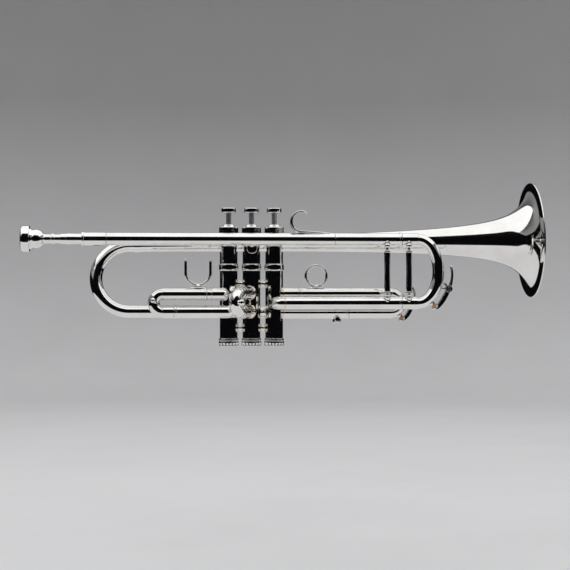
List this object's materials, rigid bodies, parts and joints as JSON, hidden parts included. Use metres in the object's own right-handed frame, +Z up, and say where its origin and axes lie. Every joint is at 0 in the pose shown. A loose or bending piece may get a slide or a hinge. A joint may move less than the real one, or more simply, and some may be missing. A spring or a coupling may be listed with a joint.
{
  "type": "trumpet",
  "caption": "Piston-valve trumpet in bright silver plate: cup mouthpiece, long leadpipe and flared bell, pull-out tuning slides, sprung finger valves and water keys.",
  "frame": {"origin": "the second valve's axis, half way up the casings, where the left hand closes round them (mount hand_grip)", "axes": "+X from the mouthpiece towards the bell, +Z up along the valves, -Y towards the player's right hand"},
  "size_m": [0.5368, 0.1312, 0.172],
  "materials": {
    "silver_plate": "mirror-polished silver plate",
    "piston_alloy": "lapped nickel alloy",
    "spring_steel": "drawn wire",
    "cork": "cut cork"
  },
  "bodies": {
    "root": {"mouthpiece_receiver": "silver_plate", "leadpipe": "silver_plate", "pinky_hook": "silver_plate", "leadpipe_post": "silver_plate", "bell": "silver_plate", "bell_bow": "silver_plate", "bell_brace_rear": "silver_plate", "bell_brace_front": "silver_plate", "valve_casing_1": "silver_plate", "top_cap_1": "silver_plate", "bottom_cap_1": "silver_plate", "valve_spring_1": "spring_steel", "valve_casing_2": "silver_plate", "top_cap_2": "silver_plate", "bottom_cap_2": "silver_plate", "valve_spring_2": "spring_steel", "valve_casing_3": "silver_plate", "top_cap_3": "silver_plate", "bottom_cap_3": "silver_plate", "valve_spring_3": "spring_steel", "upper_passage_1_2": "silver_plate", "lower_passage_1_2": "silver_plate", "bottom_spacer_1_2": "silver_plate", "upper_passage_2_3": "silver_plate", "lower_passage_2_3": "silver_plate", "bottom_spacer_2_3": "silver_plate", "main_slide_upper_sleeve": "silver_plate", "main_slide_lower_sleeve": "silver_plate", "sleeve_brace": "silver_plate", "first_slide_upper_sleeve": "silver_plate", "first_slide_lower_sleeve": "silver_plate", "second_slide_upper_sleeve": "silver_plate", "second_slide_lower_sleeve": "silver_plate", "third_slide_upper_sleeve": "silver_plate", "third_slide_lower_sleeve": "silver_plate", "third_slide_stop": "silver_plate"},
    "mouthpiece": {"mouthpiece": "silver_plate"},
    "main_slide": {"main_slide_upper_leg": "silver_plate", "main_slide_lower_leg": "silver_plate", "main_slide_crook": "silver_plate", "main_slide_brace": "silver_plate", "main_water_key_saddle": "silver_plate"},
    "main_water_key": {"main_water_key": "silver_plate", "main_water_key_cork": "cork"},
    "first_slide": {"first_slide_tube": "silver_plate", "thumb_hook": "silver_plate"},
    "second_slide": {"second_slide_tube": "silver_plate", "second_slide_knob": "silver_plate"},
    "third_slide": {"third_slide_tube": "silver_plate", "finger_ring": "silver_plate", "third_water_key_saddle": "silver_plate"},
    "third_water_key": {"third_water_key": "silver_plate", "third_water_key_cork": "cork"},
    "valve_1": {"piston_1": "piston_alloy", "finger_button_1": "silver_plate"},
    "valve_2": {"piston_2": "piston_alloy", "finger_button_2": "silver_plate"},
    "valve_3": {"piston_3": "piston_alloy", "finger_button_3": "silver_plate"}
  },
  "joints": [
    {"name": "mouthpiece_pull", "type": "slide", "parent": "root", "child": "mouthpiece", "axis": [-1, 0, 0], "range_m": [0, 0.026]},
    {"name": "main_slide_pull", "type": "slide", "parent": "root", "child": "main_slide", "axis": [1, 0, 0], "range_m": [0, 0.05]},
    {"name": "main_water_key_press", "type": "hinge", "parent": "main_slide", "child": "main_water_key", "pos_m": [0.204, -0.018, -0.0041], "axis": [0, -1, 0], "range_deg": [0, 12], "stiffness_Nm_per_rad": 0.12, "springref_deg": -8.59},
    {"name": "first_slide_throw", "type": "slide", "parent": "root", "child": "first_slide", "axis": [-1, 0, 0], "range_m": [0, 0.022]},
    {"name": "second_slide_pull", "type": "slide", "parent": "root", "child": "second_slide", "axis": [-0.4446, -0.8957, 0], "range_m": [0, 0.014]},
    {"name": "third_slide_throw", "type": "slide", "parent": "root", "child": "third_slide", "axis": [1, 0, 0], "range_m": [0, 0.045]},
    {"name": "third_water_key_press", "type": "hinge", "parent": "third_slide", "child": "third_water_key", "pos_m": [0.1678, 0, -0.0196], "axis": [0, -1, 0], "range_deg": [0, 12], "stiffness_Nm_per_rad": 0.1, "springref_deg": -8.59},
    {"name": "valve_1_press", "type": "slide", "parent": "root", "child": "valve_1", "axis": [0, 0, -1], "range_m": [0, 0.011], "stiffness_N_per_m": 150, "springref_m": -0.012, "deforming": ["valve_spring_1"]},
    {"name": "valve_2_press", "type": "slide", "parent": "root", "child": "valve_2", "axis": [0, 0, -1], "range_m": [0, 0.011], "stiffness_N_per_m": 150, "springref_m": -0.012, "deforming": ["valve_spring_2"]},
    {"name": "valve_3_press", "type": "slide", "parent": "root", "child": "valve_3", "axis": [0, 0, -1], "range_m": [0, 0.011], "stiffness_N_per_m": 150, "springref_m": -0.012, "deforming": ["valve_spring_3"]}
  ]
}
